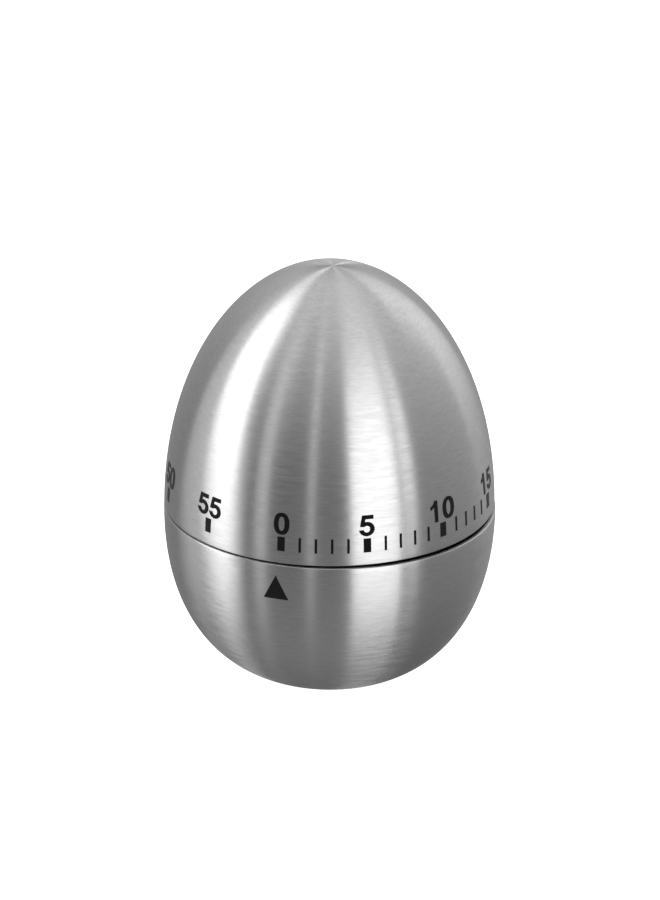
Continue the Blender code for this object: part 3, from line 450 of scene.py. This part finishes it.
# Brushed steel: its grey, its roughness, its relief as (strength, depth), and its grain as
# (pull round the egg, line width, detail). Near the pole it is blunter.
BRUSHED_GREYS = (0.57, 0.67)
BRUSHED_ROUGHNESS = (0.29, 0.37)
BRUSHED_RELIEF = (0.14, 0.02 * MM)
BRUSHED_ANISOTROPY = 0.97
FINE_GRAIN = (13.0, 0.19 * MM, 2.0)
COARSE_GRAIN = (5.0, 0.6 * MM, 2.0)
GRAIN_RADIUS = 36.0 * MM
POLE_REACH = 7.0 * MM
POLE_BLUR = 0.22

# Where noise, which keeps near its middle, is taken as its darkest and lightest
NOISE_LOW = 0.3
NOISE_HIGH = 0.7

# Share by which a speckled surface's roughness varies
GLOSS_SPREAD = 0.15


def new_material(name, colour, roughness, metallic):
    """A Principled material and its nodes."""
    made = bpy.data.materials.new(name)
    made.use_nodes = True
    nodes = made.node_tree.nodes
    shader = nodes["Principled BSDF"]
    shader.inputs["Base Color"].default_value = (*colour, 1)
    shader.inputs["Roughness"].default_value = roughness
    shader.inputs["Metallic"].default_value = metallic
    return made, nodes, made.node_tree.links, shader


def math_node(nodes, links, operation, first, second=None):
    """A Math node fed by sockets or numbers."""
    node = nodes.new("ShaderNodeMath")
    node.operation = operation
    for place, value in enumerate((first, second)):
        if value is None:
            continue
        if isinstance(value, (int, float)):
            node.inputs[place].default_value = value
        else:
            links.new(value, node.inputs[place])
    return node.outputs[0]


def ramp(nodes, links, factor, dark, light):
    """A colour ramp from dark to light over the noise's usual range."""
    node = nodes.new("ShaderNodeValToRGB")
    stops = ((NOISE_LOW, dark), (NOISE_HIGH, light))
    for element, (place, colour) in zip(node.color_ramp.elements, stops):
        element.position = place
        element.color = (*colour, 1)
    links.new(factor, node.inputs["Fac"])
    return node.outputs["Color"]


def grain_noise(nodes, links, pull, line_width, detail):
    """Noise drawn out into fine lines that run round the egg. A smaller pull makes longer lines."""
    coordinates = nodes.new("ShaderNodeTexCoord").outputs["Object"]
    split = nodes.new("ShaderNodeSeparateXYZ")
    links.new(coordinates, split.inputs[0])
    across = nodes.new("ShaderNodeCombineXYZ")
    links.new(split.outputs["X"], across.inputs["X"])
    links.new(split.outputs["Y"], across.inputs["Y"])
    length = nodes.new("ShaderNodeVectorMath")
    length.operation = "LENGTH"
    links.new(across.outputs[0], length.inputs[0])
    unit = nodes.new("ShaderNodeVectorMath")
    unit.operation = "NORMALIZE"
    links.new(across.outputs[0], unit.inputs[0])
    stretched = nodes.new("ShaderNodeVectorMath")
    stretched.operation = "SCALE"
    stretched.inputs["Scale"].default_value = pull
    links.new(unit.outputs[0], stretched.inputs[0])
    raised = math_node(nodes, links, "SUBTRACT", split.outputs["Z"], SEAM)
    latitude = math_node(nodes, links, "ARCTAN2", raised, length.outputs["Value"])
    lines = math_node(nodes, links, "MULTIPLY", latitude, GRAIN_RADIUS / line_width)
    parts = nodes.new("ShaderNodeSeparateXYZ")
    links.new(stretched.outputs[0], parts.inputs[0])
    joined = nodes.new("ShaderNodeCombineXYZ")
    links.new(parts.outputs["X"], joined.inputs["X"])
    links.new(parts.outputs["Y"], joined.inputs["Y"])
    links.new(lines, joined.inputs["Z"])
    noise = nodes.new("ShaderNodeTexNoise")
    noise.inputs["Scale"].default_value = 1.0
    noise.inputs["Detail"].default_value = detail
    noise.inputs["Roughness"].default_value = 0.6
    links.new(joined.outputs[0], noise.inputs["Vector"])
    return noise.outputs["Fac"]


def pole_blur(nodes, links):
    """Extra roughness near the axis, where the scratches run together."""
    coordinates = nodes.new("ShaderNodeTexCoord").outputs["Object"]
    split = nodes.new("ShaderNodeSeparateXYZ")
    links.new(coordinates, split.inputs[0])
    east = math_node(nodes, links, "POWER", split.outputs["X"], 2.0)
    north = math_node(nodes, links, "POWER", split.outputs["Y"], 2.0)
    reach = math_node(nodes, links, "SQRT", math_node(nodes, links, "ADD", east, north))
    blur = nodes.new("ShaderNodeMapRange")
    blur.interpolation_type = "SMOOTHSTEP"
    blur.inputs["From Min"].default_value = 0.0
    blur.inputs["From Max"].default_value = POLE_REACH
    blur.inputs["To Min"].default_value = POLE_BLUR
    blur.inputs["To Max"].default_value = 0.0
    links.new(reach, blur.inputs["Value"])
    return blur.outputs["Result"]


def brushed_steel():
    """Stainless steel brushed round the egg: long fine scratches, glints drawn out along the meridians."""
    dark, light = BRUSHED_GREYS
    smoothest, roughest = BRUSHED_ROUGHNESS
    middle = (dark + light) / 2
    made, nodes, links, shader = new_material("brushed_steel", (middle, middle, middle), roughest, 1.0)
    shader.inputs["Anisotropic"].default_value = BRUSHED_ANISOTROPY
    shader.inputs["Anisotropic Rotation"].default_value = 0.25
    tangent = nodes.new("ShaderNodeTangent")
    tangent.direction_type = "RADIAL"
    tangent.axis = "Z"
    links.new(tangent.outputs[0], shader.inputs["Tangent"])
    fine = grain_noise(nodes, links, *FINE_GRAIN)
    coarse = grain_noise(nodes, links, *COARSE_GRAIN)
    tone = ramp(nodes, links, fine, (dark, dark, dark), (light, light, light))
    links.new(tone, shader.inputs["Base Color"])
    rough = nodes.new("ShaderNodeMapRange")
    rough.inputs["From Min"].default_value = NOISE_LOW
    rough.inputs["From Max"].default_value = NOISE_HIGH
    rough.inputs["To Min"].default_value = smoothest
    rough.inputs["To Max"].default_value = roughest
    links.new(coarse, rough.inputs["Value"])
    blunt = math_node(nodes, links, "ADD", rough.outputs["Result"], pole_blur(nodes, links))
    links.new(blunt, shader.inputs["Roughness"])
    bump = nodes.new("ShaderNodeBump")
    strength, depth = BRUSHED_RELIEF
    bump.inputs["Strength"].default_value = strength
    bump.inputs["Distance"].default_value = depth
    links.new(fine, bump.inputs["Height"])
    links.new(bump.outputs[0], shader.inputs["Normal"])
    return made


def speckled(name, dark, light, roughness, metallic, size, relief):
    """A plain surface with fine unevenness in colour, gloss and relief."""
    made, nodes, links, shader = new_material(name, dark, roughness, metallic)
    coordinates = nodes.new("ShaderNodeTexCoord").outputs["Object"]
    noise = nodes.new("ShaderNodeTexNoise")
    noise.inputs["Scale"].default_value = 1 / size
    noise.inputs["Detail"].default_value = 4
    links.new(coordinates, noise.inputs["Vector"])
    tone = ramp(nodes, links, noise.outputs["Fac"], dark, light)
    links.new(tone, shader.inputs["Base Color"])
    rough = nodes.new("ShaderNodeMapRange")
    rough.inputs["To Min"].default_value = roughness * (1 - GLOSS_SPREAD)
    rough.inputs["To Max"].default_value = roughness * (1 + GLOSS_SPREAD)
    links.new(noise.outputs["Fac"], rough.inputs["Value"])
    links.new(rough.outputs["Result"], shader.inputs["Roughness"])
    bump = nodes.new("ShaderNodeBump")
    bump.inputs["Strength"].default_value = 0.3
    bump.inputs["Distance"].default_value = relief
    links.new(noise.outputs["Fac"], bump.inputs["Height"])
    links.new(bump.outputs[0], shader.inputs["Normal"])
    return made


def set_level(material, socket, level):
    """Set one of a material's plain levels."""
    material.node_tree.nodes["Principled BSDF"].inputs[socket].default_value = level


BRUSHED = brushed_steel()

# Name, dark and light colour, roughness, metallic, size of the speckle, relief
INK = speckled("ink", (0.001, 0.001, 0.001), (0.002, 0.002, 0.002), 0.6, 0.0, 0.3 * MM, 0.002 * MM)
set_level(INK, "Specular IOR Level", 0.06)
set_level(INK, "Sheen Weight", 0.1)
PLASTIC_GREYS = ((0.006, 0.006, 0.007), (0.012, 0.012, 0.013))
PLASTIC = speckled("black_plastic", *PLASTIC_GREYS, 0.5, 0.0, 0.4 * MM, 0.01 * MM)
set_level(PLASTIC, "Specular IOR Level", 0.3)
BRASS = speckled("brass", (0.72, 0.50, 0.20), (0.82, 0.62, 0.30), 0.32, 1.0, 1.5 * MM, 0.004 * MM)
STEEL = speckled("plain_steel", (0.50, 0.50, 0.50), (0.62, 0.62, 0.62), 0.3, 1.0, 1.2 * MM, 0.004 * MM)
BLUED = speckled("blued_steel", (0.06, 0.07, 0.10), (0.12, 0.13, 0.18), 0.35, 1.0, 1.0 * MM, 0.003 * MM)

# The record's material slots
SLOTS = {
    "brushed_shell": BRUSHED,
    "steel": STEEL,
    "brass": BRASS,
    "black_plastic": PLASTIC,
    "blued_steel": BLUED,
}


def dress_cad():
    """Give every carried-over CAD node the material of its slot."""
    for part in frame["record"]["subparts"]:
        node = frame["nodes"][part["node"]]
        node.data.materials.clear()
        node.data.materials.append(SLOTS[part["material_slot"]])


# ---------------------------------------------------------------- stage

LIGHT_DISTANCE = 0.8
FLOOR_SIZE = 8.0
FLOOR_DROP = 0.2 * MM

# The surround's brightness: its level, and how it changes to the back, overhead and low in front
SURROUND_LEVEL = 0.22
FRONT_DIP = 0.212
DIP_AZIMUTH = -25
OVERHEAD_RISE = 0.66
UNDER_RISE = 0.45

# The camera, aimed past the middle of the seam by its rise and its step aside
CAMERA_ELEVATION = 22.9
CAMERA_DISTANCE = 2.0
CAMERA_LENS = 440.8
CAMERA_RISE = 9.40 * MM
CAMERA_ASIDE = 0.03 * MM
CAMERA_ROLL = 0.95


def make_camera():
    """A long lens, looking down at the front."""
    data = bpy.data.cameras.new("camera")
    data.lens = CAMERA_LENS
    data.clip_start = 0.05
    camera = bpy.data.objects.new("camera", data)
    bpy.context.collection.objects.link(camera)
    turn = Matrix.Rotation(math.radians(90 - CAMERA_ELEVATION), 4, "X")
    turn = turn @ Matrix.Rotation(math.radians(CAMERA_ROLL), 4, "Z")
    camera.location = Vector((0, 0, SEAM)) + turn @ Vector((CAMERA_ASIDE, CAMERA_RISE, CAMERA_DISTANCE))
    camera.rotation_euler = turn.to_euler()
    bpy.context.scene.camera = camera


def strip_light(name, azimuth, width, power, elevation=14.0, height=1.7, lean=0.0):
    """A tall soft light standing round the object, facing it. Width is in degrees, power per area.

    A lean tips its top towards smaller azimuths.
    """
    data = bpy.data.lights.new(name, "AREA")
    data.shape = "RECTANGLE"
    data.size = 2 * LIGHT_DISTANCE * math.tan(math.radians(width / 2))
    data.size_y = height
    data.energy = power * data.size * height
    light = bpy.data.objects.new(name, data)
    bpy.context.collection.objects.link(light)
    turn = math.radians(azimuth)
    lift = math.radians(elevation)
    toward = Vector((math.sin(turn) * math.cos(lift), -math.cos(turn) * math.cos(lift), math.sin(lift)))
    light.location = Vector((0, 0, SEAM)) + toward * LIGHT_DISTANCE
    facing = toward.to_track_quat("Z", "Y").to_matrix().to_4x4()
    light.rotation_euler = (facing @ Matrix.Rotation(math.radians(lean), 4, "Z")).to_euler()


def make_floor():
    """A pale floor that glows evenly like a light table, just below the object."""
    bpy.ops.mesh.primitive_plane_add(size=FLOOR_SIZE)
    floor = bpy.context.object
    floor.name = "floor"
    floor.location.z = -FLOOR_DROP
    made, _, _, shader = new_material("floor", (0.9, 0.9, 0.9), 0.8, 0.0)
    shader.inputs["Emission Color"].default_value = (1, 1, 1, 1)
    shader.inputs["Emission Strength"].default_value = 1.0
    floor.data.materials.append(made)
    floor.visible_glossy = False
    floor.visible_shadow = False


def make_surround():
    """A dim surround: darker in front, brighter overhead and low in front."""
    world = bpy.data.worlds.new("surround")
    world.use_nodes = True
    nodes = world.node_tree.nodes
    links = world.node_tree.links
    direction = nodes.new("ShaderNodeTexCoord").outputs["Generated"]
    split = nodes.new("ShaderNodeSeparateXYZ")
    links.new(direction, split.inputs[0])
    behind = nodes.new("ShaderNodeVectorMath")
    behind.operation = "DOT_PRODUCT"
    links.new(direction, behind.inputs[0])
    turn = math.radians(DIP_AZIMUTH)
    behind.inputs[1].default_value = (-math.sin(turn), math.cos(turn), 0)
    side = math_node(nodes, links, "MULTIPLY", behind.outputs["Value"], FRONT_DIP)
    side = math_node(nodes, links, "ADD", side, SURROUND_LEVEL)
    above = math_node(nodes, links, "MAXIMUM", split.outputs["Z"], 0.0)
    above = math_node(nodes, links, "MULTIPLY", above, OVERHEAD_RISE)
    below = math_node(nodes, links, "MINIMUM", split.outputs["Z"], 0.0)
    below = math_node(nodes, links, "MULTIPLY", below, behind.outputs["Value"])
    below = math_node(nodes, links, "MULTIPLY", below, UNDER_RISE)
    level = math_node(nodes, links, "ADD", side, above)
    level = math_node(nodes, links, "ADD", level, below)
    background = nodes["Background"]
    background.inputs["Color"].default_value = (1, 1, 1, 1)
    links.new(level, background.inputs["Strength"])
    bpy.context.scene.world = world


def make_lights():
    """Tall soft strips all round, whose glints run up the brushed steel: azimuth, width, power."""
    strip_light("left_edge", -110, 20, 1.3)
    strip_light("left_strip", -85, 29, 5.8, lean=16)
    strip_light("left_faint", -47, 9, 2.0)
    strip_light("middle_faint", -12, 5, 1.8)
    strip_light("right_strip", 32, 34, 5.6, elevation=0, height=1.2, lean=4)
    strip_light("right_shoulder", 57, 10, 3.8, elevation=10, height=0.8)
    strip_light("right_high", 135, 30, 1.6, elevation=22, height=0.7)


# ---------------------------------------------------------------- the object

make_camera()
dress_cad()
make_shells()
make_cover()
print_scale()
print_pointer()
make_floor()
make_surround()
make_lights()
bpy.context.scene.view_settings.view_transform = "Standard"
